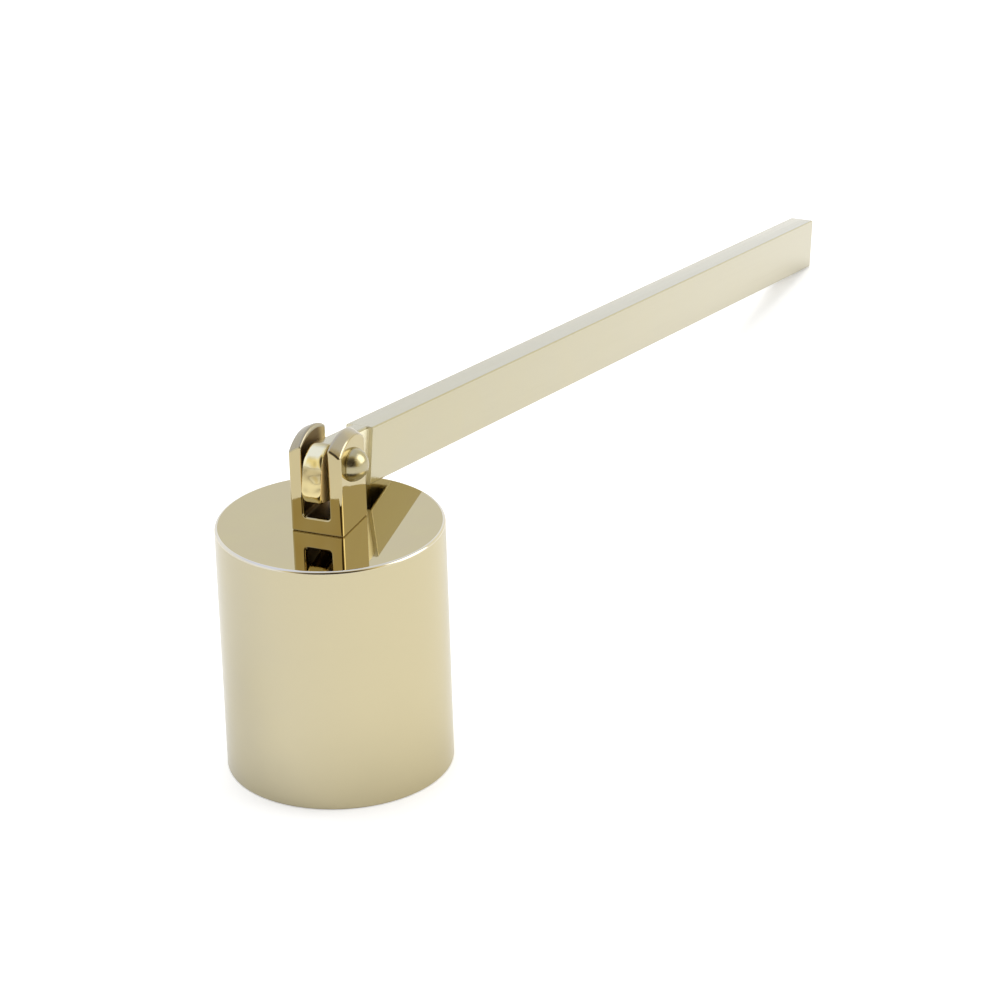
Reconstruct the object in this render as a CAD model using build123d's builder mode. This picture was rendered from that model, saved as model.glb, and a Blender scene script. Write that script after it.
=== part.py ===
"""Candle snuffer: a straight bell carried by a hinged bar handle.

The bell stands on its mouth at z = 0, centred on the Z axis. A clevis is screwed to the
bell's top from inside, and a rivet through its two ears carries the handle's tongue. The
handle leans down along +X until its far end rests on the table, and swings over the top.
All lengths are in millimetres.
"""

import os
from math import acos, asin, atan2, cos, degrees, hypot, radians, sin

from build123d import *

os.makedirs("parts", exist_ok=True)

# Bell: a turned cup with a thick top and a coved inner corner
bell_outer_radius = 15.5
bell_height = 35.3
bell_wall = 1.5
bell_top = 2.0
bell_cove_radius = 3.0
bell_top_round = 0.4
bell_mouth_round = 0.3

# Clevis: a nearly square block with a domed top, slotted along X into two ears
clevis_length = 8.0
ear_thickness = 1.88
slot_width = 3.84
slot_corner_radius = 0.5
clevis_floor = 2.25
clevis_corner_radius = 0.3
dome_radius = 6.7
dome_centre_drop = 1.62
screw_thread_clearance = 0.03

# Rivet: a shaft with a domed head on the -Y side and a flatter formed tail on the other
rivet_radius = 1.25
rivet_head_radius = 2.35
rivet_head_rise = 2.1
rivet_tail_radius = 2.1
rivet_tail_rise = 1.1
rivet_ear_clearance = 0.02

# Handle: a flat bar stepped down on both sides to a tongue with a rounded nose
bar_depth = 8.0
bar_width = 4.0
bar_edge_radius = 0.3
bar_end_radius = 0.25
bar_drop = 1.2
handle_reach = 193.4
nose_reach = 4.75
nose_top_radius = 2.8
nose_bottom_radius = 1.6
tongue_side_play = 0.57
tongue_floor_gap = 0.42
shoulder_clearance = 0.35
pivot_clearance = 0.08
rim_clearance = 0.15

# Fixing screw: an M3 pan head with a cross recess, and a split lock washer under its head
screw_radius = 1.5
screw_tip_chamfer = 0.25
screw_tip_setback = 0.3
screw_hole_clearance = 0.2
screw_head_radius = 2.75
screw_head_height = 1.7
screw_head_round = 0.7
recess_span = 3.0
recess_width = 0.7
recess_depth = 1.0
washer_outer_radius = 2.9
washer_thickness = 0.7
washer_bore_clearance = 0.15
washer_split = 0.5
washer_split_angle = 25.0

# Cuts run past the faces that they open by this much
overrun = 1.0

# Sizes and places that follow
bell_inner_radius = bell_outer_radius - bell_wall
bell_depth = bell_height - bell_top
clevis_width = slot_width + 2 * ear_thickness
ear_face = clevis_width / 2
clevis_half_length = clevis_length / 2

# The nose's outermost sweep about the pivot sets how high the pivot stands over the slot
bar_below_pivot = bar_depth / 2 + bar_drop
nose_inset = nose_reach - nose_bottom_radius
nose_sweep = nose_bottom_radius + hypot(nose_inset, bar_below_pivot - nose_bottom_radius)
pivot_rise = clevis_floor + tongue_floor_gap + nose_sweep
pivot_height = bell_height + pivot_rise
dome_centre_rise = pivot_rise - dome_centre_drop
dome_top_rise = dome_centre_rise + dome_radius
tongue_thickness = slot_width - 2 * tongue_side_play
shoulder_reach = hypot(clevis_half_length, pivot_rise) + shoulder_clearance

# The handle leans down until its end meets the table or its underside meets the bell's rim
table_span = hypot(handle_reach, bar_below_pivot)
table_angle = asin(pivot_height / table_span) - atan2(bar_below_pivot, handle_reach)
rim_drop = pivot_rise - rim_clearance
rim_distance = hypot(bell_outer_radius, rim_drop)
rim_angle = acos(bar_below_pivot / rim_distance) - atan2(bell_outer_radius, rim_drop)
lean = min(table_angle, rim_angle)

pivot_point = (0, 0, pivot_height)
pivot_axis = Axis(pivot_point, (0, 1, 0))
pivot_section = Plane(origin=pivot_point, x_dir=(0, 1, 0), z_dir=(1, 0, 0))
handle_side = Plane(origin=pivot_point, x_dir=(cos(lean), 0, -sin(lean)), z_dir=(0, -1, 0))
handle_axis = Axis(pivot_point, handle_side.x_dir)


def cap_radius(edge_radius, rise):
    """Return the radius of the sphere whose cap has this edge radius and rise."""
    return (edge_radius**2 + rise**2) / (2 * rise)


# Bell
with BuildPart() as bell:
    with BuildSketch(Plane.XZ) as bell_outside:
        with Locations((bell_outer_radius / 2, bell_height / 2)):
            Rectangle(bell_outer_radius, bell_height)
        bell_top_corner = bell_outside.vertices().group_by(Axis.Y)[-1].sort_by(Axis.X)[-1]
        fillet(bell_top_corner, bell_top_round)
    revolve(axis=Axis.Z)
    with BuildSketch(Plane.XZ) as bell_inside:
        with Locations((bell_inner_radius / 2, (bell_depth - overrun) / 2)):
            Rectangle(bell_inner_radius, bell_depth + overrun)
        bell_cove_corner = bell_inside.vertices().group_by(Axis.Y)[-1].sort_by(Axis.X)[-1]
        fillet(bell_cove_corner, bell_cove_radius)
    revolve(axis=Axis.Z, mode=Mode.SUBTRACT)
    mouth_edges = bell.edges().filter_by(GeomType.CIRCLE).group_by(Axis.Z)[0]
    fillet(mouth_edges, bell_mouth_round)
    with Locations((0, 0, bell_height)):
        Hole(radius=screw_radius + screw_hole_clearance)
bell.part.label = "bell"
export_step(bell.part, "parts/bell.step")

# Clevis
with BuildPart() as clevis:
    with BuildSketch(Plane.XY.offset(bell_height)) as clevis_plan:
        RectangleRounded(clevis_length, clevis_width, clevis_corner_radius)
    extrude(amount=dome_centre_rise)
    with Locations((0, 0, bell_height + dome_centre_rise)):
        Sphere(dome_radius)
    extrude(clevis_plan.sketch, amount=dome_top_rise, mode=Mode.INTERSECT)
    with BuildSketch(pivot_section) as slot_section:
        slot_bottom = clevis_floor - pivot_rise
        slot_top = dome_radius + overrun
        with Locations((0, (slot_top + slot_bottom) / 2)):
            Rectangle(slot_width, slot_top - slot_bottom)
        fillet(slot_section.vertices().group_by(Axis.Y)[0], slot_corner_radius)
    extrude(amount=clevis_half_length + overrun, both=True, mode=Mode.SUBTRACT)
    with Locations(Plane(origin=pivot_point, z_dir=pivot_axis.direction)):
        Hole(radius=rivet_radius + rivet_ear_clearance)
    with Locations((0, 0, bell_height)):
        Hole(radius=screw_radius + screw_thread_clearance)
clevis.part.label = "clevis"
export_step(clevis.part, "parts/clevis.step")

# Pivot rivet
with BuildPart() as pivot_rivet:
    with BuildSketch(pivot_section):
        head_sphere = cap_radius(rivet_head_radius, rivet_head_rise)
        tail_sphere = cap_radius(rivet_tail_radius, rivet_tail_rise)
        head_sweep = degrees(asin(rivet_head_radius / head_sphere))
        tail_sweep = degrees(asin(rivet_tail_radius / tail_sphere))
        head_apex = -ear_face - rivet_head_rise
        tail_apex = ear_face + rivet_tail_rise
        with BuildLine():
            CenterArc((head_apex + head_sphere, 0), head_sphere, 180 - head_sweep, head_sweep)
            CenterArc((tail_apex - tail_sphere, 0), tail_sphere, 0, tail_sweep)
            Polyline(
                (-ear_face, rivet_head_radius),
                (-ear_face, rivet_radius),
                (ear_face, rivet_radius),
                (ear_face, rivet_tail_radius),
            )
            Line((head_apex, 0), (tail_apex, 0))
        make_face()
    revolve(axis=pivot_axis)
pivot_rivet.part.label = "pivot_rivet"
export_step(pivot_rivet.part, "parts/pivot_rivet.step")

# Handle
with BuildPart() as handle:
    with BuildSketch(handle_side) as tongue_side:
        with Locations(((shoulder_reach - nose_reach) / 2, -bar_drop)):
            Rectangle(shoulder_reach + nose_reach, bar_depth)
        nose_top_corner = tongue_side.vertices().group_by(Axis.X)[0].sort_by(Axis.Y)[-1]
        fillet(nose_top_corner, nose_top_radius)
        nose_bottom_corner = tongue_side.vertices().group_by(Axis.X)[0].sort_by(Axis.Y)[0]
        fillet(nose_bottom_corner, nose_bottom_radius)
    extrude(amount=tongue_thickness / 2, both=True)
    shoulder_point = handle_side.from_local_coords((shoulder_reach, -bar_drop, 0))
    with BuildSketch(Plane(origin=shoulder_point, x_dir=(0, 1, 0), z_dir=handle_side.x_dir)):
        RectangleRounded(bar_width, bar_depth, bar_edge_radius)
    extrude(amount=handle_reach - shoulder_reach)
    fillet(handle.faces().sort_by(handle_axis)[-1].edges(), bar_end_radius)
    with Locations(handle_side):
        Hole(radius=rivet_radius + pivot_clearance)
handle.part.label = "handle"
export_step(handle.part, "parts/handle.step")

# Lock washer
with BuildPart() as lock_washer:
    with BuildSketch(Plane.XY.offset(bell_depth - washer_thickness)):
        Circle(washer_outer_radius)
        Circle(screw_radius + washer_bore_clearance, mode=Mode.SUBTRACT)
    extrude(amount=washer_thickness)
    split_middle = (washer_outer_radius, 0, bell_depth - washer_thickness / 2)
    split_length = 2 * (washer_outer_radius - screw_radius)
    split_height = washer_thickness + 2 * overrun
    with Locations(Location(split_middle, (washer_split_angle, 0, 0))):
        Box(split_length, washer_split, split_height, mode=Mode.SUBTRACT)
lock_washer.part.label = "lock_washer"
export_step(lock_washer.part, "parts/lock_washer.step")

# Fixing screw
screw_seat = bell_depth - washer_thickness
screw_end = bell_height + clevis_floor - screw_tip_setback
with BuildPart() as fixing_screw:
    with BuildSketch(Plane.XY.offset(screw_seat - screw_head_height)):
        Circle(screw_head_radius)
    extrude(amount=screw_head_height)
    fillet(fixing_screw.faces().sort_by(Axis.Z)[0].edges(), screw_head_round)
    with BuildSketch(Plane.XY.offset(screw_seat)):
        Circle(screw_radius)
    extrude(amount=screw_end - screw_seat)
    chamfer(fixing_screw.faces().sort_by(Axis.Z)[-1].edges(), screw_tip_chamfer)
    with BuildSketch(Plane.XY.offset(screw_seat - screw_head_height)):
        Rectangle(recess_span, recess_width)
        Rectangle(recess_width, recess_span)
    extrude(amount=recess_depth, mode=Mode.SUBTRACT)
fixing_screw.part.label = "fixing_screw"
export_step(fixing_screw.part, "parts/fixing_screw.step")

print(f"pivot {pivot_height:.3f} mm up, {pivot_rise:.3f} mm over the bell")
print(f"handle leans {degrees(lean):.3f} degrees, its shoulder {shoulder_reach:.2f} mm from the pivot")
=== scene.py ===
"""Candle snuffer: a straight gold-plated bell, a slotted block, a rivet and a bar handle.

Every length is in metres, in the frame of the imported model: the bell stands on its mouth at
z = 0 on the Z axis, and the handle leans down along +X.
"""

import logging
from abc import ABC, abstractmethod
from dataclasses import dataclass, replace
from enum import Enum, IntEnum
from math import asin, atan2, cos, hypot, sin

import bpy
import numpy as np
from bpy.types import Material, Node, NodeTree, Object, bpy_prop_collection
from mathutils import Matrix, Vector


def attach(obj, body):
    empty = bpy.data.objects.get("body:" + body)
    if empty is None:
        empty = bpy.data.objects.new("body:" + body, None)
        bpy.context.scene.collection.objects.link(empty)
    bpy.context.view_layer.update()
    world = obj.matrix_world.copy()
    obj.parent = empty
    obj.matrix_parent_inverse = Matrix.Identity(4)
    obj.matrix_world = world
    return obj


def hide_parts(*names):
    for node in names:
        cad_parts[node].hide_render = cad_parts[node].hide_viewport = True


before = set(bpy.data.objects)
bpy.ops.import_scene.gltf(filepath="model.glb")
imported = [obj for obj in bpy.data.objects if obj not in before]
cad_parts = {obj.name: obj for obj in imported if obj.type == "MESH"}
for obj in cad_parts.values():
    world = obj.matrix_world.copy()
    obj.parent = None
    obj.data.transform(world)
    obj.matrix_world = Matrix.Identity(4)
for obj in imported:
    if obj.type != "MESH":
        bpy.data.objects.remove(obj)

MM = 0.001
# How far from a rounding a flat's extra row of points lies
SUPPORT = 0.05 * MM
TOLERANCE = 0.01 * MM
# Most of a noise texture's values lie between these two
NOISE_LOW, NOISE_HIGH = 0.3, 0.7

Points = np.ndarray
Triple = tuple[float, float, float]
Socket = str | int
log = logging.getLogger("snuffer")


class Slot(Enum):
    """The record's material slots that the new pieces stand for."""

    POLISHED = "polished_brass"
    SATIN = "satin_brass"


class Body(Enum):
    """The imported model's bodies."""

    BELL = "bell_body"
    HANDLE = "handle_body"


class Axis(Enum):
    """The frame's axes."""

    X = "X"
    Y = "Y"
    Z = "Z"


class Sheet(IntEnum):
    """The six outer sheets of the block's lattice."""

    SLOT = 0
    OUTSIDE = 1
    BAR_END = 2
    FREE_END = 3
    FAR_CROWN = 4
    NEAR_CROWN = 5


class BellZone(IntEnum):
    """The bell's plates, in order."""

    SIDE = 0
    TOP = 1
    INSIDE = 2
    RIM = 3


class BlockZone(IntEnum):
    """The block's plates, in order."""

    SIDE = 0
    SLOT = 1
    FAR_CROWN = 2
    WORN = 3
    NEAR_CROWN = 4


class BarZone(IntEnum):
    """The handle's plates, in order."""

    BAR = 0
    NOSE = 1
    STEP = 2
    CHEEK = 3


# Shapes


def rounded_outline(corners: Points, radii: Points, steps: int) -> Points:
    """Round the corners of a closed outline and hold its straight runs flat.

    At each corner of turning angle t, the arc of radius r touches both runs at r tan(t/2)
    from the corner. Each run also gets a point a little way in from each arc, so that
    smooth shading starts at the arc and the run stays flat.

    Args:
        corners: The outline's corners in order, one row each.
        radii: The rounding at each corner.
        steps: The number of spans in each arc.

    Returns:
        The points of the closed outline, without the first one repeated.
    """
    before = corners - np.roll(corners, 1, axis=0)
    after = np.roll(corners, -1, axis=0) - corners
    before = before / np.linalg.norm(before, axis=1)[:, None]
    after = after / np.linalg.norm(after, axis=1)[:, None]
    cross = before[:, 0] * after[:, 1] - before[:, 1] * after[:, 0]
    turn = np.arctan2(cross, (before * after).sum(axis=1))
    reach = radii * np.tan(np.abs(turn) / 2)
    start = corners - before * reach[:, None]
    inward = np.sign(turn)[:, None] * np.column_stack((-before[:, 1], before[:, 0]))
    centre = start + inward * radii[:, None]
    share = np.linspace(0, 1, steps + 1)[None, :]
    angle = turn[:, None] * share
    spoke = start - centre
    round_x = spoke[:, :1] * np.cos(angle) - spoke[:, 1:] * np.sin(angle)
    round_y = spoke[:, :1] * np.sin(angle) + spoke[:, 1:] * np.cos(angle)
    arcs = centre[:, None, :] + np.stack((round_x, round_y), axis=2)
    lead = (start - before * SUPPORT)[:, None, :]
    tail = (corners + after * (reach + SUPPORT)[:, None])[:, None, :]
    return np.concatenate((lead, arcs, tail), axis=1).reshape(-1, 2)


def grid_quads(rows: int, columns: int, wrap_rows: bool = False) -> list[list[int]]:
    """Number the quads of a grid whose rings always close on themselves.

    Args:
        rows: The number of rings.
        columns: The number of points in a ring.
        wrap_rows: Whether the last ring joins the first.

    Returns:
        The four vertex numbers of each quad.
    """
    spans = rows if wrap_rows else rows - 1
    i, j = np.meshgrid(np.arange(spans), np.arange(columns), indexing="ij")
    here, beyond = i * columns, (i + 1) % rows * columns
    j_next = (j + 1) % columns
    corners = (here + j, here + j_next, beyond + j_next, beyond + j)
    return np.stack(corners, axis=2).reshape(-1, 4).tolist()


def end_fans(rows: int, columns: int) -> list[list[int]]:
    """Number the triangles that close the first and the last ring of a grid.

    The vertex in the middle of the first ring is numbered straight after the grid's points,
    and the one in the middle of the last ring follows it.

    Args:
        rows: The number of rings.
        columns: The number of points in a ring.

    Returns:
        The three vertex numbers of each triangle.
    """
    here = np.arange(columns)
    there = (here + 1) % columns
    middle = np.full(columns, rows * columns)
    base = (rows - 1) * columns
    first = np.column_stack((middle, there, here))
    last = np.column_stack((middle + 1, base + here, base + there))
    return np.vstack((first, last)).tolist()


def put_mesh(name: str, points: Points, faces: list[list[int]]) -> Object:
    """Make a smooth-shaded mesh object at the origin from points and faces.

    Args:
        name: The piece's name.
        points: The vertices, in metres in the frame.
        faces: Vertex numbers of each face, counter-clockwise from outside.

    Returns:
        The new object, linked to the scene.
    """
    mesh = bpy.data.meshes.new(name)
    mesh.from_pydata(points.tolist(), [], faces)
    mesh.polygons.foreach_set("use_smooth", np.ones(len(mesh.polygons), dtype=bool))
    mesh.update()
    piece = bpy.data.objects.new(name, mesh)
    bpy.context.scene.collection.objects.link(piece)
    return piece


def read_rows(things: bpy_prop_collection, name: str, width: int, kind: type = float) -> Points:
    """Read an attribute of every vertex, edge, loop or face of a mesh.

    Args:
        things: The mesh's vertices, edges, loops or faces.
        name: The attribute.
        width: How many numbers it has.
        kind: The type of its numbers.

    Returns:
        One row of numbers for each of them.
    """
    flat = np.empty(width * len(things), dtype=kind)
    things.foreach_get(name, flat)
    return flat.reshape(-1, width)


def set_zones(piece: Object, zones: Points) -> None:
    """Number the plate of every face, by its place in the piece's list of plates."""
    piece.data.polygons.foreach_set("material_index", np.asarray(zones, dtype=np.int32))


def turned(name: str, profile: Points, axes: Matrix, segments: int) -> Object:
    """Turn a profile of (radius, height) about an axis.

    The surface is P(u, v) = centre + radius(u) (cos v x + sin v y) + height(u) z, with x, y
    and z the columns of the axes. A profile that is clear of the axis is closed. Any other
    one starts and ends on the axis, and each of its ends is one vertex there.

    Args:
        name: The piece's name.
        profile: Rows of radius and height, with the outside on its right-hand side.
        axes: A matrix whose third column is the turning axis and whose last is the centre.
        segments: The number of steps round the axis.

    Returns:
        The new object.
    """
    angle = np.linspace(0, 2 * np.pi, segments, endpoint=False)
    ring = bool(profile[:, 0].min() > 0)
    body = profile if ring else profile[1:-1]
    radius, height = body[:, :1], np.repeat(body[:, 1:], segments, axis=1)
    local = np.stack((radius * np.cos(angle), radius * np.sin(angle), height), axis=2)
    local = local.reshape(-1, 3)
    faces = grid_quads(len(body), segments, wrap_rows=ring)
    if not ring:
        local = np.vstack((local, [(0, 0, profile[0, 1]), (0, 0, profile[-1, 1])]))
        faces += end_fans(len(body), segments)
    turn = np.array(axes)[:3, :3]
    return put_mesh(name, local @ turn.T + np.array(axes)[:3, 3], faces)


def swept(name: str, rings: Points) -> Object:
    """Join rings of points into a closed tube, with one vertex in the middle of each end.

    The surface is P(u, v) = ring(u) at its point v. The middle of an end is the mean of its
    ring, which lies in the end's flat face.

    Args:
        name: The piece's name.
        rings: An array of rings by points by three coordinates, counter-clockwise seen from
            beyond the last ring.

    Returns:
        The new object.
    """
    count, size = rings.shape[:2]
    middles = (rings[0].mean(axis=0), rings[-1].mean(axis=0))
    points = np.vstack((rings.reshape(-1, 3), *middles))
    return put_mesh(name, points, grid_quads(count, size) + end_fans(count, size))


def block_shell(name: str, lattice: Points) -> tuple[Object, Points]:
    """Make the closed skin of a three-way lattice of points.

    The skin is the six outer sheets of the lattice, each a grid of two of its three numbers,
    and neighbouring sheets share their edge vertices.

    Args:
        name: The piece's name.
        lattice: An array of I by J by K by three coordinates, right-handed in I, J, K.

    Returns:
        The new object, and the sheet that each quad is in.
    """
    number = np.arange(lattice[..., 0].size).reshape(lattice.shape[:3])

    def sheet(cells: Points) -> Points:
        """Return the quads of one sheet, turning from its first number to its second."""
        corners = (cells[:-1, :-1], cells[1:, :-1], cells[1:, 1:], cells[:-1, 1:])
        return np.stack(corners, axis=2).reshape(-1, 4)

    sheets = {
        Sheet.SLOT: sheet(number[:, :, -1]),
        Sheet.OUTSIDE: sheet(number[:, :, 0].T),
        Sheet.BAR_END: sheet(number[-1, :, :]),
        Sheet.FREE_END: sheet(number[0, :, :].T),
        Sheet.FAR_CROWN: sheet(number[:, -1, :].T),
        Sheet.NEAR_CROWN: sheet(number[:, 0, :]),
    }
    quads = list(sheets.values())
    used, compact = np.unique(np.vstack(quads), return_inverse=True)
    points = lattice.reshape(-1, 3)[used]
    piece = put_mesh(name, points, compact.reshape(-1, 4).tolist())
    return piece, np.repeat(list(sheets), [len(part) for part in quads])


def edge_places(piece: Object) -> Points:
    """Return the middle of every edge, one row of three coordinates each."""
    ends = read_rows(piece.data.edges, "vertices", 2, np.int32)
    return read_rows(piece.data.vertices, "co", 3)[ends].mean(axis=1)


def edge_sheets(piece: Object, sheets: Points) -> tuple[Points, Points]:
    """Find which sheets of quads meet at every edge.

    Args:
        piece: The piece.
        sheets: The number of the sheet that each quad is in.

    Returns:
        Each edge's lower and higher sheet number, equal inside a sheet.
    """
    mesh = piece.data
    edges = read_rows(mesh.loops, "edge_index", 1, np.int32).ravel()
    beside = np.repeat(sheets, 4)
    low = np.full(len(mesh.edges), sheets.max())
    high = np.full(len(mesh.edges), sheets.min())
    np.minimum.at(low, edges, beside)
    np.maximum.at(high, edges, beside)
    return low, high


def break_edges(piece: Object, widths: Points, segments: int) -> None:
    """Round a piece's edges with a live bevel that keeps its flats flat.

    Args:
        piece: The piece.
        widths: The rounding of each edge, in metres, zero where it stays sharp.
        segments: The number of spans across a rounding.
    """
    weights = piece.data.attributes.new("bevel_weight_edge", "FLOAT", "EDGE")
    weights.data.foreach_set("value", (widths / widths.max()).astype(np.float32))
    bevel = piece.modifiers.new("edge_break", "BEVEL")
    bevel.width = widths.max()
    bevel.segments = segments
    bevel.limit_method = "WEIGHT"
    bevel.harden_normals = True


# Finishes


@dataclass(frozen=True)
class Fade:
    """A slow change of colour along an axis."""

    axis: Axis
    start: float
    end: float
    colour: Triple


class Wiring:
    """An emptied node tree, with short ways to add and join its nodes."""

    def __init__(self, tree: NodeTree) -> None:
        """Take a node tree and empty it."""
        self.tree = tree
        self.tree.nodes.clear()

    def add(self, kind: str, inputs: dict[Socket, object] | None = None, **values: object) -> Node:
        """Add a node, then set its attributes and its inputs.

        Args:
            kind: The node's type.
            inputs: Values of its input sockets.
            values: Attributes by name.

        Returns:
            The node.
        """
        node = self.tree.nodes.new(kind)
        for name, value in values.items():
            setattr(node, name, value)
        for socket, value in (inputs or {}).items():
            node.inputs[socket].default_value = value
        return node

    def join(self, source: Node, out: Socket, target: Node, into: Socket) -> Node:
        """Link one node's output to another's input, and return the other."""
        self.tree.links.new(source.outputs[out], target.inputs[into])
        return target

    def fade(self, colours: Node, out: Socket, fade: Fade, place: str, kind: str = "MIX") -> Node:
        """Bring a colour to another one by a smooth step along an axis.

        Args:
            colours: The node that gives the colour at the start.
            out: The node's output.
            fade: The axis, where the change starts and ends, and the other colour.
            place: The texture coordinate that is followed.
            kind: How the other colour is mixed in.

        Returns:
            The Mix node with the faded colour.
        """
        parts = self.add("ShaderNodeSeparateXYZ")
        self.join(self.add("ShaderNodeTexCoord"), place, parts, "Vector")
        ends = {"From Min": fade.start, "From Max": fade.end}
        share = self.add("ShaderNodeMapRange", ends, interpolation_type="SMOOTHSTEP")
        self.join(parts, fade.axis.value, share, "Value")
        mix = self.add("ShaderNodeMix", {"B": (*fade.colour, 1)}, data_type="RGBA", blend_type=kind)
        self.join(colours, out, mix, "A")
        return self.join(share, "Result", mix, "Factor")


class Board(Wiring):
    """A material's node tree, with its output and its Principled shader."""

    def __init__(self, name: str) -> None:
        """Start a material with its output and a Principled shader for metal.

        Args:
            name: The material's name.
        """
        self.material = bpy.data.materials.new(name)
        self.material.use_nodes = True
        super().__init__(self.material.node_tree)
        self.output = self.add("ShaderNodeOutputMaterial")
        self.shader = self.add("ShaderNodeBsdfPrincipled", {"Metallic": 1.0})
        self.join(self.shader, "BSDF", self.output, "Surface")

    def place(self, scale: Triple = (1, 1, 1), turn: float = 0.0) -> Node:
        """Read the object's own coordinates, scaled and turned about Y.

        Args:
            scale: The pattern's repeats per metre along each axis.
            turn: The turn about Y, in radians.

        Returns:
            The Mapping node.
        """
        inputs = {"Rotation": (0, turn, 0), "Scale": tuple(1 / s for s in scale)}
        mapping = self.add("ShaderNodeMapping", inputs, vector_type="TEXTURE")
        return self.join(self.add("ShaderNodeTexCoord"), "Object", mapping, "Vector")

    def noise(self, mapping: Node, scale: float, detail: float) -> Node:
        """Add a noise of some octaves of detail, at a scale on top of the mapping's."""
        noise = self.add("ShaderNodeTexNoise", {"Scale": scale, "Detail": detail})
        return self.join(mapping, "Vector", noise, "Vector")

    def spread(self, noise: Node, low: float, high: float) -> Node:
        """Bring a noise's usual range to a range of values."""
        ends = {"From Min": NOISE_LOW, "From Max": NOISE_HIGH, "To Min": low, "To Max": high}
        return self.join(noise, 0, self.add("ShaderNodeMapRange", ends), "Value")

    def blend(self, first: Triple, second: Triple) -> Node:
        """Add a mix of two colours, whose factor is joined to it afterwards."""
        colours = {"A": (*first, 1), "B": (*second, 1)}
        return self.add("ShaderNodeMix", colours, data_type="RGBA")

    def bump(self, pattern: Node, strength: float, depth: float) -> Node:
        """Turn a pattern into a bump of a strength and a depth."""
        bump = self.add("ShaderNodeBump", {"Strength": strength, "Distance": depth})
        return self.join(pattern, 0, bump, "Height")


@dataclass(frozen=True)
class PlatedGold:
    """Pale gold plate: even colour with faint clouding, fine polishing lines and waviness, and
    painted light in smooth colour changes along axes where given.
    """

    name: str
    colour: Triple
    cloud_colour: Triple
    rough: tuple[float, float]
    line_scale: Triple
    line_bump: float = 0.10
    wave_bump: float = 0.05
    wave_scale: float = 90.0
    turn: float = 0.0
    painted_light_fades: tuple[Fade, ...] = ()
    cloud_scale: float = 170.0
    cloud_detail: float = 3.0
    line_detail: float = 4.0
    line_depth: float = 0.01 * MM
    wave_detail: float = 1.0
    wave_depth: float = 0.3 * MM

    def build(self) -> Material:
        """Make the material.

        Returns:
            The material, which reads the object's own coordinates.
        """
        board = Board(self.name)
        plain = board.place(turn=self.turn)
        lined = board.place(self.line_scale, self.turn)
        clouds = board.noise(plain, self.cloud_scale, self.cloud_detail)
        mix = board.blend(self.colour, self.cloud_colour)
        board.join(board.spread(clouds, 0.0, 1.0), 0, mix, "Factor")
        # Each smooth change along an axis paints light onto the colour.
        for fade in self.painted_light_fades:
            mix = board.fade(mix, "Result", fade, "Object")
        board.join(mix, "Result", board.shader, "Base Color")
        lines = board.noise(lined, 1.0, self.line_detail)
        board.join(board.spread(lines, *self.rough), 0, board.shader, "Roughness")
        fine = board.bump(lines, self.line_bump, self.line_depth)
        waves = board.noise(plain, self.wave_scale, self.wave_detail)
        waviness = board.bump(waves, self.wave_bump, self.wave_depth)
        board.join(waviness, "Normal", fine, "Normal")
        board.join(fine, "Normal", board.shader, "Normal")
        return board.material


@dataclass(frozen=True)
class BrightZinc:
    """Bright zinc plate: cool grey with small crystals and a slight haze."""

    name: str = "bright_zinc"
    colour: Triple = (0.56, 0.58, 0.60)
    crystal_colour: Triple = (0.44, 0.46, 0.50)
    crystal_scale: float = 2500.0
    rough: tuple[float, float] = (0.22, 0.42)
    haze_scale: float = 900.0
    haze_detail: float = 3.0
    haze_bump: float = 0.15
    haze_depth: float = 0.01 * MM

    def build(self) -> Material:
        """Make the material.

        Returns:
            The material, which reads the object's own coordinates.
        """
        board = Board(self.name)
        plain = board.place()
        crystals = board.add("ShaderNodeTexVoronoi", {"Scale": self.crystal_scale})
        board.join(plain, "Vector", crystals, "Vector")
        mix = board.blend(self.colour, self.crystal_colour)
        board.join(crystals, "Color", mix, "Factor")
        board.join(mix, "Result", board.shader, "Base Color")
        haze = board.noise(plain, self.haze_scale, self.haze_detail)
        board.join(board.spread(haze, *self.rough), 0, board.shader, "Roughness")
        bump = board.bump(haze, self.haze_bump, self.haze_depth)
        board.join(bump, "Normal", board.shader, "Normal")
        return board.material


# Pieces


class Piece(ABC):
    """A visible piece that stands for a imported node."""

    slot: Slot

    @abstractmethod
    def build(self) -> Object:
        """Make the piece's mesh, hide the imported node that it stands for and put it on its body.
        """

    @abstractmethod
    def plates(self) -> tuple[PlatedGold, ...]:
        """Describe the plates of the piece's zones, in order."""

    def dress(self, piece: Object) -> None:
        """Give the piece its plates.

        Args:
            piece: The piece that build made.
        """
        for plate in self.plates():
            piece.data.materials.append(plate.build())
        names = ", ".join(plate.name for plate in piece.data.materials)
        log.info("%s: %d faces, %s", piece.name, len(piece.data.polygons), names)


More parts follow.
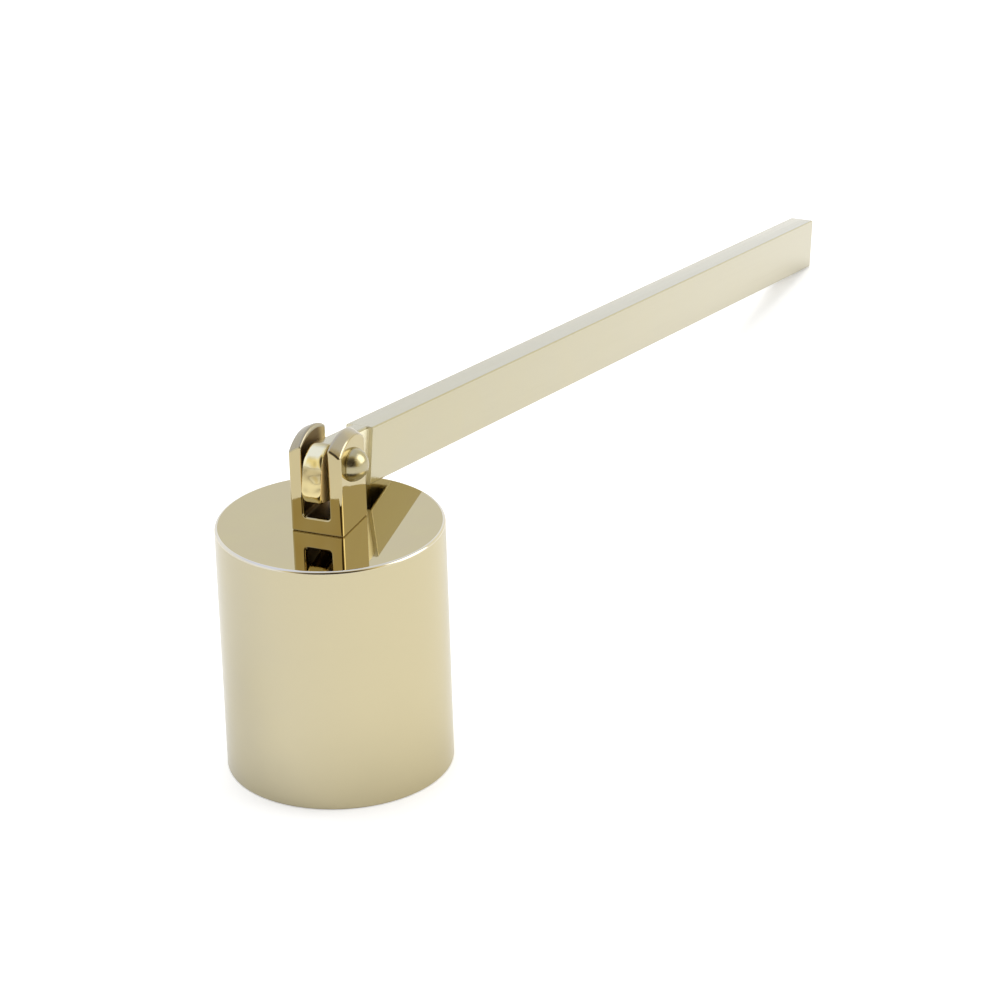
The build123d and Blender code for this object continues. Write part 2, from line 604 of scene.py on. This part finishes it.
@dataclass
class Bell(Piece):
    """The turned cup: outside, flat top with its screw hole, coved inside and rounded mouth."""

    slot: Slot = Slot.POLISHED
    outer_radius: float = 15.5 * MM
    height: float = 35.3 * MM
    wall: float = 1.5 * MM
    top: float = 2.0 * MM
    cove_radius: float = 3.0 * MM
    top_round: float = 0.4 * MM
    mouth_round: float = 0.3 * MM
    hole_radius: float = 1.7 * MM
    hole_round: float = 0.1 * MM
    arc_steps: int = 10
    segments: int = 384
    top_share: float = 0.9

    def build(self) -> Object:
        """Turn the cup's closed profile about Z.

        The top's zone starts at a share of the rounding's height under the flat, and the
        rim's zone, which gets a painted highlight, is the part of it outside the flat.

        Returns:
            The bell's visible piece.
        """
        outer, hole, inner = self.outer_radius, self.hole_radius, self.outer_radius - self.wall
        high, under = self.height, self.height - self.top
        corners = (outer, 0), (outer, high), (hole, high), (hole, under), (inner, under), (inner, 0)
        mouth, edge = self.mouth_round, self.hole_round
        radii = mouth, self.top_round, edge, edge, self.cove_radius, mouth
        profile = rounded_outline(np.array(corners), np.array(radii), self.arc_steps)
        piece = turned("bell_shell", profile, Matrix.Identity(4), self.segments)
        middle = read_rows(piece.data.polygons, "center", 3)
        on_top = middle[:, 2] > self.height - self.top_share * self.top_round
        radius = np.hypot(middle[:, 0], middle[:, 1])
        inside = (radius < self.outer_radius - self.wall / 2) & ~on_top
        rim = on_top & (radius > self.outer_radius - self.top_round)
        zones = (BellZone.RIM, BellZone.TOP, BellZone.INSIDE)
        set_zones(piece, np.select((rim, on_top, inside), zones, BellZone.SIDE))
        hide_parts("bell")
        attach(piece, Body.BELL.value)
        return piece

    def plates(self) -> tuple[PlatedGold, ...]:
        """Describe the turned side, which painted light makes lighter and warmer towards -Y, the
        mirror-bright top, the rim's painted highlight and the dull inside.

        Returns:
            The plates, in the order of the zones.
        """
        side = PlatedGold(
            "turned_gold_plate", (0.582, 0.53, 0.375), (0.568, 0.52, 0.38), (0.12, 0.20),
            line_scale=(60, 60, 4000), line_bump=0.06, wave_bump=0.03,
            # Painted light: the side turns lighter and warmer towards -Y.
            painted_light_fades=(Fade(Axis.Y, 14 * MM, -14 * MM, (0.64, 0.565, 0.36)),),
        )
        top = PlatedGold(
            "mirror_gold_plate", (0.57, 0.49, 0.275), (0.56, 0.475, 0.28), (0.015, 0.03),
            line_scale=(500, 500, 500), line_bump=0.02, wave_bump=0.015,
        )
        # Painted highlight: the rim's plate is a pale, near-white copy of the top's plate.
        rim = replace(
            top, name="rim_painted_highlight_plate", colour=(0.80, 0.74, 0.60),
            cloud_colour=(0.76, 0.70, 0.56), rough=(0.04, 0.08),
        )
        inside = PlatedGold(
            "inside_gold_plate", (0.50, 0.43, 0.26), (0.44, 0.38, 0.24), (0.28, 0.42),
            line_scale=(60, 60, 3000), line_bump=0.20,
        )
        return side, top, inside, rim


@dataclass
class Clevis(Piece):
    """The slotted block: a floor and two ears with rounded edges and a domed top."""

    slot: Slot = Slot.POLISHED
    foot: float = 35.3 * MM
    pivot_rise: float = 9.054 * MM
    length: float = 8.0 * MM
    width: float = 7.6 * MM
    slot_width: float = 3.84 * MM
    floor: float = 2.25 * MM
    slot_radius: float = 0.5 * MM
    dome_radius: float = 6.7 * MM
    dome_drop: float = 1.62 * MM
    edge_break: float = 0.26 * MM
    upright_break: float = 0.42 * MM
    crown_round: float = 0.65 * MM
    crown_round_end: float = 0.16 * MM
    break_steps: int = 4
    end_column: float = 0.5 * MM
    columns: int = 23
    ear_rows: int = 8
    ear_top_share: float = 0.935
    corner_steps: int = 8
    floor_steps: int = 8
    floor_width_share: float = 0.45
    wall_shares: tuple[float, ...] = (0, 0.25, 0.4, 0.55, 1)

    def crown(self, x: Points, y: Points | float) -> Points:
        """Return the height over the foot of the sphere that the ears' tops lie on."""
        # The root of the radius squared less x and y squared, over a centre under the pivot
        return self.pivot_rise + (np.sqrt(self.dome_radius**2 - x**2 - y**2) - self.dome_drop)

    def lattice(self) -> Points:
        """Lay a U-shaped lattice along X.

        Its first number runs along X, its second round the U from the top of one ear to the
        top of the other, and its third from the outside to the slot. On the slot's side the
        U goes down an ear, round a quarter circle, across the floor and up again. On the
        outside it goes down to the floor's level, down to the foot and in along the foot.
        A point between the two lies at a share of the way, and the top row on the crown.

        Returns:
            An array of places along X by places round the U by shares by coordinates.
        """
        half_width, half_slot = self.width / 2, self.slot_width / 2
        inside = self.length / 2 - self.end_column
        x = np.linspace(-inside, inside, self.columns)
        x = np.concatenate(([-self.length / 2], x, [self.length / 2]))[:, None]
        corner = self.slot_radius
        low = self.floor + corner
        rise = np.append(1, np.linspace(self.ear_top_share, 0, self.ear_rows)[:-1])
        wall = np.ones_like(rise)
        turn = np.radians(np.linspace(0, 90, self.corner_steps + 1))
        arc_y = half_slot - corner + corner * np.cos(turn)
        arc_z = low - corner * np.sin(turn)
        across = np.linspace(1, -1, self.floor_steps + 1)[1:-1]
        flat_y = (half_slot - corner) * across
        half = self.corner_steps // 2
        inset = np.linspace(1, self.floor_width_share, half + 1)[1:]
        inset = np.concatenate((np.ones(half + 1), inset))
        lift = np.concatenate((np.linspace(1, 0, half + 1), np.zeros(half)))
        wall_y = half_slot * wall
        inner_y = np.concatenate((-wall_y, -arc_y, -flat_y, arc_y[::-1], wall_y))
        foot_y = -self.floor_width_share * across
        outer_y = np.concatenate((-wall, -inset, foot_y, inset[::-1], wall)) * half_width

        def heights(top: Points, middle: Points) -> Points:
            """Return heights round the U from an ear's top down, across and up again."""
            down = low + (top - low) * rise
            return np.hstack((down, np.broadcast_to(middle, (len(x), len(middle))), down[:, ::-1]))

        floor_z = np.concatenate((arc_z, self.floor + 0 * across, arc_z[::-1]))
        foot_z = low * np.concatenate((lift, 0 * across, lift[::-1]))
        inner_z = heights(self.crown(x, half_slot), floor_z)
        outer_z = heights(self.crown(x, half_width), foot_z)
        share = np.array(self.wall_shares)
        y = outer_y[:, None] * (1 - share) + inner_y[:, None] * share
        y = np.broadcast_to(y, (len(x), *y.shape))
        z = outer_z[..., None] * (1 - share) + inner_z[..., None] * share
        for top in (0, -1):
            z[:, top] = self.crown(x, y[:, top])
        return np.stack((np.broadcast_to(x[..., None], y.shape), y, z + self.foot), axis=3)

    def zones(self, sheets: Points, cells: tuple[int, int]) -> Points:
        """Choose the plate of every face.

        In the slot, the near wall and the columns at both ends are polished like the sides,
        the row under each crown is worn, and all the rest gets painted shade.

        Args:
            sheets: The sheet that each quad is in.
            cells: How many quads the slot has along X and round the U.

        Returns:
            A zone for each quad.
        """
        crowns = (sheets == Sheet.FAR_CROWN, sheets == Sheet.NEAR_CROWN)
        crown_zones = (BlockZone.FAR_CROWN, BlockZone.NEAR_CROWN)
        zones = np.select(crowns, crown_zones, BlockZone.SIDE)
        slot_zones = np.full(cells, BlockZone.SLOT, dtype=int)
        slot_zones[(0, -1), :] = BlockZone.SIDE
        slot_zones[:, : self.ear_rows] = BlockZone.SIDE
        slot_zones[:, (0, -1)] = BlockZone.WORN
        zones[sheets == Sheet.SLOT] = slot_zones.ravel()
        return zones

    def roundings(self, piece: Object, sheets: Points) -> Points:
        """Choose the rounding of every edge of the block.

        Edges where two sheets meet are rounded alike, but for two kinds. The upright corners
        are rounder. The ears' inner top edges are worn: their rounding grows by a smooth step
        from the block's ends to half way to its middle.

        Args:
            piece: The block.
            sheets: The sheet that each quad is in.

        Returns:
            A width for each edge.
        """
        low, high = edge_sheets(piece, sheets)
        place = edge_places(piece)
        ramp = np.clip((self.length / 2 - np.abs(place[:, 0])) / (self.length / 4), 0, 1)
        ramp = ramp**2 * (3 - 2 * ramp)
        worn = self.crown_round_end + (self.crown_round - self.crown_round_end) * ramp
        inner_top = (low == Sheet.SLOT) & (high >= Sheet.FAR_CROWN)
        at_foot = place[:, 2] < self.foot + TOLERANCE
        at_end = np.isin(high, (Sheet.BAR_END, Sheet.FREE_END))
        upright = (low == Sheet.OUTSIDE) & at_end & ~at_foot
        bottom = at_foot & (np.abs(place[:, 1]) > self.width / 2 - TOLERANCE)
        widths = (worn, self.upright_break, self.edge_break)
        return np.select((inner_top, upright, bottom | (low != high)), widths, 0.0)

    def build(self) -> Object:
        """Take the lattice's skin and round its edges.

        Returns:
            The block's visible piece.
        """
        lattice = self.lattice()
        piece, sheets = block_shell("clevis_block", lattice)
        cells = (lattice.shape[0] - 1, lattice.shape[1] - 1)
        set_zones(piece, self.zones(sheets, cells))
        break_edges(piece, self.roundings(piece, sheets), self.break_steps)
        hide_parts("clevis")
        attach(piece, Body.BELL.value)
        return piece

    def plates(self) -> tuple[PlatedGold, ...]:
        """Describe the polished sides, the slot's painted shade, the far crown, the near crown
        lightened with painted light, and the crowns' worn inner rows.

        Returns:
            The plates, in the order of the zones.
        """
        side = PlatedGold(
            "polished_gold_plate", (0.57, 0.485, 0.27), (0.55, 0.465, 0.265), (0.03, 0.06),
            line_scale=(1500, 1500, 300), line_bump=0.04, wave_bump=0.22, wave_scale=220.0,
        )
        # Painted shade: the slot's plate is nearly black where shade falls, and turns lighter
        # towards +X.
        slot = PlatedGold(
            "slot_painted_shade_plate", (0.16, 0.10, 0.04), (0.22, 0.15, 0.06), (0.30, 0.45),
            line_scale=(300, 1500, 1500), wave_bump=0.10,
            painted_light_fades=(Fade(Axis.X, 1.4 * MM, 3.2 * MM, (0.56, 0.44, 0.22)),),
        )
        far_crown = PlatedGold(
            "crown_gold_plate", (0.44, 0.385, 0.262), (0.41, 0.36, 0.25), (0.16, 0.26),
            line_scale=(300, 2500, 1500), wave_bump=0.08,
        )
        # Painted light: the near crown is a lighter copy of the far crown's plate.
        near_crown = replace(
            far_crown, name="near_crown_painted_light_plate", colour=(0.55, 0.48, 0.33),
            cloud_colour=(0.52, 0.455, 0.315),
        )
        worn = replace(
            far_crown, name="worn_gold_plate", colour=(0.50, 0.45, 0.33),
            cloud_colour=(0.47, 0.42, 0.31), rough=(0.30, 0.42),
        )
        return side, slot, far_crown, worn, near_crown


@dataclass
class Rivet(Piece):
    """The rivet along Y: a domed head on the near side, a shaft and a flatter tail."""

    slot: Slot = Slot.POLISHED
    pivot: float = 44.354 * MM
    grip: float = 7.6 * MM
    shaft_radius: float = 1.25 * MM
    head_radius: float = 2.35 * MM
    head_rise: float = 2.1 * MM
    tail_radius: float = 2.1 * MM
    tail_rise: float = 1.1 * MM
    dome_steps: int = 28
    segments: int = 160

    def dome(self, edge: float, rise: float) -> Points:
        """Sample a spherical cap's outline from its apex to its edge.

        The sphere's radius is (edge squared + rise squared) / (2 rise).

        Args:
            edge: The cap's edge radius.
            rise: The cap's rise.

        Returns:
            Rows of radius and height over the cap's edge.
        """
        sphere = (edge**2 + rise**2) / (2 * rise)
        angle = np.linspace(0, asin(edge / sphere), self.dome_steps + 1)
        return np.column_stack((sphere * np.sin(angle), sphere * np.cos(angle) - sphere + rise))

    def build(self) -> Object:
        """Turn the rivet's outline about the pivot's axis.

        Returns:
            The rivet's visible piece.
        """
        half = self.grip / 2
        head = self.dome(self.head_radius, self.head_rise)
        tail = self.dome(self.tail_radius, self.tail_rise)
        shaft = np.array([(self.shaft_radius, half), (self.shaft_radius, -half)])
        near = np.column_stack((head[:, 0], half + head[:, 1]))
        far = np.column_stack((tail[::-1, 0], -half - tail[::-1, 1]))
        profile = np.vstack((near, shaft, far))[::-1]
        axes = Matrix(((1, 0, 0, 0), (0, 0, -1, 0), (0, 1, 0, self.pivot), (0, 0, 0, 1)))
        piece = turned("pivot_rivet_body", profile, axes, self.segments)
        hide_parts("pivot_rivet")
        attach(piece, Body.BELL.value)
        return piece

    def plates(self) -> tuple[PlatedGold, ...]:
        """Describe the rivet's one plate."""
        plate = PlatedGold(
            "rivet_gold_plate", (0.52, 0.46, 0.285), (0.45, 0.40, 0.25), (0.18, 0.28),
            line_scale=(1500, 300, 1500), wave_bump=0.35, wave_scale=500.0,
        )
        return (plate,)


@dataclass
class Handle(Piece):
    """The bar: a rounded nose, a thin tongue, a shoulder on both sides and a long flat bar."""

    slot: Slot = Slot.SATIN
    pivot: float = 44.354 * MM
    depth: float = 8.0 * MM
    width: float = 4.0 * MM
    tongue: float = 2.7 * MM
    drop: float = 1.2 * MM
    reach: float = 193.4 * MM
    nose_reach: float = 4.75 * MM
    nose_top: float = 2.8 * MM
    nose_bottom: float = 1.6 * MM
    shoulder: float = 10.248 * MM
    edge_round: float = 0.3 * MM
    end_round: float = 0.25 * MM
    tongue_round: float = 0.55 * MM
    shoulder_round: float = 0.08 * MM
    nose_points: int = 22
    round_points: int = 6
    corner_points: int = 7
    nose_face_shares: tuple[float, ...] = (0.25, 0.9)
    end_inset_share: float = 0.7
    end_width_share: float = 0.3
    end_radii: tuple[float, ...] = (0.05 * MM, 0.02 * MM)
    nose_zone: float = 4.0 * MM
    step_zone: float = 0.02 * MM
    step_facing: float = 0.5
    cheek_facing: float = 0.9

    @property
    def lean(self) -> float:
        """The angle below level at which the end's lower edge rests on the table."""
        below = self.depth / 2 + self.drop
        return asin(self.pivot / hypot(self.reach, below)) - atan2(below, self.reach)

    @staticmethod
    def sections(*measures: Points | float) -> Points:
        """Set the place, half width, height, depth and corner radius of sections in rows."""
        return np.column_stack(np.broadcast_arrays(*measures))

    def nose_edge(self, back: Points, radius: float) -> Points:
        """Return the height of a quarter circle behind the nose's face and the flat after it."""
        left = np.clip(radius - back, 0, radius)
        return self.depth / 2 - radius + np.sqrt(radius**2 - left**2)

    def nose_rows(self) -> Points:
        """List the sections of the nose.

        The first ones lie in the nose's flat face, at shares of its size. The others follow
        its two quarter circles.

        Returns:
            Rows as those of stations.
        """
        half_tongue = self.tongue / 2
        turn = 1 - np.cos(np.radians(np.linspace(0, 90, self.nose_points)))
        back = np.unique(np.concatenate((turn * self.nose_top, turn * self.nose_bottom)))
        over, under = self.nose_edge(back, self.nose_top), self.nose_edge(back, self.nose_bottom)
        middle, half_face = (over[0] - under[0]) / 2, (over[0] + under[0]) / 2
        share = np.array(self.nose_face_shares)
        face_over, face_under = middle + share * half_face, share * half_face - middle
        face_round = share * self.tongue_round
        face = self.sections(
            -self.nose_reach, share * half_tongue, face_over, face_under, face_round
        )
        place = back - self.nose_reach
        return np.vstack((face, self.sections(place, half_tongue, over, under, self.tongue_round)))

    def stations(self) -> Points:
        """List the bar's cross-sections along its length.

        The shoulder's step goes out by a quarter circle at its foot and another at its edge,
        while the corners' radius changes from the tongue's to the bar's. A quarter circle
        leads into the end's flat face, where the last two sections lie.

        Returns:
            Rows of place, half width, height over and depth under the centreline, and corner
            radius.
        """
        deep, half_tongue, half_width = self.depth / 2, self.tongue / 2, self.width / 2
        r, s, edge, end = self.tongue_round, self.shoulder_round, self.edge_round, self.end_round
        step = np.radians(np.linspace(0, 90, self.round_points))
        foot = self.shoulder - s
        rows = [self.nose_rows(), self.sections(foot - SUPPORT, half_tongue, deep, deep, r)]
        for place, wide in (
            (foot + s * np.sin(step), half_tongue + s - s * np.cos(step)),
            (self.shoulder + s - s * np.cos(step), half_width - s + s * np.sin(step)),
        ):
            blend = (wide - half_tongue) / (half_width - half_tongue)
            rows.append(self.sections(place, wide, deep, deep, r + blend * (edge - r)))
        run = np.array([self.shoulder + s + SUPPORT, self.reach - end - SUPPORT])
        rows.append(self.sections(run, half_width, deep, deep, edge))
        inset = end - end * np.cos(step)
        place = self.reach - end + end * np.sin(step)
        radius = np.maximum(edge - inset, SUPPORT)
        rows.append(self.sections(place, half_width - inset, deep - inset, deep - inset, radius))
        inner = half_width - end
        inset = np.array([end + SUPPORT, self.end_inset_share * deep])
        wide = np.array([inner - SUPPORT, self.end_width_share * inner])
        radius = np.array(self.end_radii)
        rows.append(self.sections(self.reach, wide, deep - inset, deep - inset, radius))
        return np.vstack(rows)

    def build(self) -> Object:
        """Carry a rounded rectangle along the bar's centreline, with its size from the stations.

        Each corner of a section is a quarter circle of the station's radius, and the flats
        between the corners are straight.

        Returns:
            The handle's visible piece.
        """
        place, half_width, over, under, radius = self.stations().T[:, :, None]
        quarter = np.radians(np.linspace(0, 90, self.corner_points))
        angle = np.concatenate([quarter + q * np.pi / 2 for q in range(4)])[None, :]
        sign_w = np.repeat((1, -1, -1, 1), len(quarter))[None, :]
        upper = np.repeat((True, True, False, False), len(quarter))[None, :]
        across = sign_w * (half_width - radius) + radius * np.cos(angle)
        level = np.where(upper, over - radius, radius - under)
        up = level + radius * np.sin(angle) - self.drop
        along = np.broadcast_to(place, across.shape)
        c, s = cos(self.lean), sin(self.lean)
        rings = np.stack((along * c + up * s, across, self.pivot - along * s + up * c), axis=2)
        piece = swept("handle_bar", rings)
        middle = read_rows(piece.data.polygons, "center", 3)
        facing = np.abs(read_rows(piece.data.polygons, "normal", 3))
        reach = middle[:, 0] * c - (middle[:, 2] - self.pivot) * s
        # The step and the nose's cheeks are masked for plates paled with painted light.
        nose = reach < self.nose_zone
        step = ~nose & (reach < self.shoulder + self.step_zone) & (facing[:, 2] < self.step_facing)
        cheek = nose & (facing[:, 1] > self.cheek_facing)
        zones = (BarZone.CHEEK, BarZone.NOSE, BarZone.STEP)
        set_zones(piece, np.select((cheek, nose, step), zones, BarZone.BAR))
        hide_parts("handle")
        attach(piece, Body.HANDLE.value)
        return piece

    def plates(self) -> tuple[PlatedGold, ...]:
        """Describe the satin bar, paler towards its far end with painted light, the scuffed nose
        with a painted highlight and painted light, and its cheeks and the step, paled with painted
        light.

        Returns:
            The plates, in the order of the zones.
        """
        bar = PlatedGold(
            "satin_gold_plate", (0.575, 0.52, 0.34), (0.565, 0.515, 0.35), (0.14, 0.24),
            line_scale=(40, 2500, 2500), line_bump=0.08, wave_bump=0.02, turn=self.lean,
            # Painted light: the bar turns paler towards its far end.
            painted_light_fades=(Fade(Axis.X, 0.0, 0.26, (0.675, 0.635, 0.50)),),
        )
        nose = PlatedGold(
            "tongue_painted_light_plate", (0.60, 0.49, 0.25), (0.40, 0.33, 0.17), (0.04, 0.10),
            line_scale=(1500, 300, 1500), wave_bump=0.70, wave_scale=450.0,
            painted_light_fades=(
                # Painted light: a highlight on the nose's upper front, taken off again below 46 mm,
                # and a lighter colour below the pivot.
                Fade(Axis.X, -1.6 * MM, -3 * MM, (0.98, 0.89, 0.56)),
                Fade(Axis.Z, 46 * MM, 44.7 * MM, (0.60, 0.49, 0.25)),
                Fade(Axis.Z, 44.1 * MM, 43.1 * MM, (0.80, 0.67, 0.34)),
            ),
        )
        # Painted light: the shoulder's step is paled so that it reads lit.
        step = PlatedGold(
            "step_painted_light_plate", (0.95, 0.90, 0.70), (0.91, 0.86, 0.66), (0.45, 0.60),
            line_scale=(1500, 300, 1500), line_bump=0.08,
        )
        # Painted light: the tongue's cheeks are paled and warmed so that the gap beside the tongue
        # reads lit.
        cheek = PlatedGold(
            "cheek_painted_light_plate", (0.98, 0.77, 0.39), (0.94, 0.73, 0.36), (0.50, 0.62),
            line_scale=(300, 1500, 1500),
        )
        return bar, nose, step, cheek


@dataclass
class Fixing:
    """The screw and the washer inside the bell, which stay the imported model's own nodes."""

    nodes: tuple[str, ...] = ("fixing_screw", "lock_washer")

    def dress(self) -> None:
        """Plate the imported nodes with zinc."""
        zinc = BrightZinc().build()
        for name in self.nodes:
            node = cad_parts[name]
            node.material_slots[0].material = zinc
            log.info("%s: packed node, %s", name, zinc.name)


# Studio


@dataclass(frozen=True)
class Lamp:
    """A square soft lamp that faces the object."""

    name: str
    place: Triple
    size: float
    power: float
    mirrored: bool
    target: Triple = (0.05, 0, 0.02)

    def hang(self) -> None:
        """Hang the lamp; metal shows it only if it is mirrored, and else the tent behind it."""
        data = bpy.data.lights.new(self.name, "AREA")
        data.shape = "SQUARE"
        data.size = self.size
        data.energy = self.power
        lamp = bpy.data.objects.new(self.name, data)
        bpy.context.scene.collection.objects.link(lamp)
        lamp.visible_glossy = self.mirrored
        lamp.location = self.place
        aim = Vector(self.target) - Vector(self.place)
        lamp.rotation_euler = aim.to_track_quat("-Z", "Y").to_euler()


@dataclass
class Studio:
    """The photograph's camera, a pale floor, soft lamps and a white surround."""

    camera_place: Triple = (-0.513597, -0.247400, 0.301763)
    yaw: float = 1.1621442
    pitch: float = -0.4341821
    roll: float = -0.0308266
    focal_pixels: float = 4704.67
    image_pixels: float = 1002.0
    sensor: float = 36.0
    clip_start: float = 0.01
    floor_size: float = 12.0
    floor_grey: float = 0.90
    floor_seen_lift: float = 0.30
    floor_mirrored_lift: float = 0.05
    glow: float = 0.55
    tent_stops: tuple[tuple[float, Triple], ...] = (
        (0.58, (0.96, 1.0, 1.10)),
        (0.74, (0.80, 0.70, 0.42)),
        (0.86, (0.24, 0.21, 0.16)),
        (0.93, (0.06, 0.05, 0.04)),
    )
    tent_tints: tuple[Fade, ...] = (
        Fade(Axis.Y, 0.25, -0.30, (1.0, 0.93, 0.71)),
        Fade(Axis.Z, 0.50, 0.75, (0.84, 0.88, 1.05)),
    )
    lamps: tuple[Lamp, ...] = (
        Lamp("overhead_lamp", (0.3, 0.3, 1.42), 1.35, 14.0, mirrored=False),
        Lamp("side_lamp", (0.6, -1.4, 0.9), 1.2, 9.5, mirrored=True),
    )

    def aim_camera(self) -> None:
        """Put the camera where the photograph was taken from.

        The view direction is (sin yaw cos pitch, cos yaw cos pitch, sin pitch), and the roll
        turns the picture about it.
        """
        level = Vector((cos(self.yaw), -sin(self.yaw), 0))
        flat = cos(self.pitch)
        ahead = Vector((sin(self.yaw) * flat, cos(self.yaw) * flat, sin(self.pitch)))
        above = level.cross(ahead)
        right = level * cos(self.roll) + above * sin(self.roll)
        up = above * cos(self.roll) - level * sin(self.roll)
        data = bpy.data.cameras.new("photo_camera")
        data.sensor_width = self.sensor
        data.lens = self.focal_pixels * self.sensor / self.image_pixels
        data.clip_start = self.clip_start
        data.dof.use_dof = False
        camera = bpy.data.objects.new("photo_camera", data)
        bpy.context.scene.collection.objects.link(camera)
        turn = Matrix((right, up, -ahead)).transposed().to_4x4()
        camera.matrix_world = Matrix.Translation(self.camera_place) @ turn
        bpy.context.scene.camera = camera

    def lay_floor(self) -> None:
        """Lay the pale floor, lifted to white for the camera and a little for reflections."""
        half = self.floor_size / 2
        corners = np.array([(-half, -half, 0), (half, -half, 0), (half, half, 0), (-half, half, 0)])
        floor = put_mesh("studio_floor", corners, [[0, 1, 2, 3]])
        board = Board("floor_white")
        board.tree.nodes.remove(board.shader)
        colour = (self.floor_grey, self.floor_grey, self.floor_grey, 1)
        matte = board.add("ShaderNodeBsdfDiffuse", {"Color": colour})
        lift = board.add("ShaderNodeEmission")
        path = board.add("ShaderNodeLightPath")
        seen = board.add("ShaderNodeMath", {1: self.floor_seen_lift}, operation="MULTIPLY")
        board.join(path, "Is Camera Ray", seen, 0)
        share = {1: self.floor_mirrored_lift}
        mirrored = board.add("ShaderNodeMath", share, operation="MULTIPLY_ADD")
        board.join(path, "Is Glossy Ray", mirrored, 0)
        board.join(seen, 0, mirrored, 2)
        board.join(mirrored, 0, lift, "Strength")
        both = board.add("ShaderNodeAddShader")
        board.join(matte, 0, both, 0)
        board.join(lift, 0, both, 1)
        board.join(both, 0, board.output, "Surface")
        floor.data.materials.append(board.material)

    def surround(self) -> None:
        """Light the world: an even glow for matte surfaces, and a white tent for metal.

        The tent is white all round but for its open side, where the camera stands. The share
        of a direction along the one to the camera takes it through the ramp's colours, from
        the white cloth over its warm shaded edge to the dark room behind the camera. Two
        tints, each a smooth step along an axis, warm the near side and cool the roof.
        """
        world = bpy.data.worlds.new("tent")
        bpy.context.scene.world = world
        world.use_nodes = True
        wiring = Wiring(world.node_tree)
        output = wiring.add("ShaderNodeOutputWorld")
        white = (1, 1, 1, 1)
        glow = wiring.add("ShaderNodeBackground", {"Color": white, "Strength": self.glow})
        to_camera = {1: Vector(self.camera_place).normalized()}
        toward = wiring.add("ShaderNodeVectorMath", to_camera, operation="DOT_PRODUCT")
        wiring.join(wiring.add("ShaderNodeTexCoord"), "Generated", toward, 0)
        ramp = wiring.add("ShaderNodeValToRGB")
        stops = ramp.color_ramp.elements
        while len(stops) < len(self.tent_stops):
            stops.new(1.0)
        for stop, (place, colour) in zip(stops, self.tent_stops):
            stop.position = place
            stop.color = (*colour, 1)
        wiring.join(toward, "Value", ramp, "Fac")
        cloth, out = ramp, "Color"
        for tint in self.tent_tints:
            cloth, out = wiring.fade(cloth, out, tint, "Generated", "MULTIPLY"), "Result"
        path = wiring.add("ShaderNodeLightPath")
        backdrop = wiring.add("ShaderNodeMix", {"B": white}, data_type="RGBA")
        wiring.join(cloth, out, backdrop, "A")
        wiring.join(path, "Is Camera Ray", backdrop, "Factor")
        tent = wiring.add("ShaderNodeBackground")
        wiring.join(backdrop, "Result", tent, "Color")
        seen, out = path, "Is Camera Ray"
        for ray in ("Is Glossy Ray", "Is Transmission Ray"):
            either = wiring.add("ShaderNodeMath", operation="MAXIMUM")
            wiring.join(seen, out, either, 0)
            wiring.join(path, ray, either, 1)
            seen, out = either, "Value"
        mix = wiring.add("ShaderNodeMixShader")
        wiring.join(seen, out, mix, "Fac")
        wiring.join(glow, 0, mix, 1)
        wiring.join(tent, 0, mix, 2)
        wiring.join(mix, 0, output, "Surface")

    def build(self) -> None:
        """Set the view, the camera, the floor, the world and the lamps."""
        bpy.context.scene.view_settings.view_transform = "Standard"
        self.aim_camera()
        self.lay_floor()
        self.surround()
        for lamp in self.lamps:
            lamp.hang()


def main() -> None:
    """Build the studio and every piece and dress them."""
    logging.basicConfig(level=logging.INFO, format="%(name)s: %(message)s")
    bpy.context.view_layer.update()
    Studio().build()
    for part in (Bell(), Clevis(), Rivet(), Handle()):
        part.dress(part.build())
    Fixing().dress()


if __name__ == "__main__":
    main()
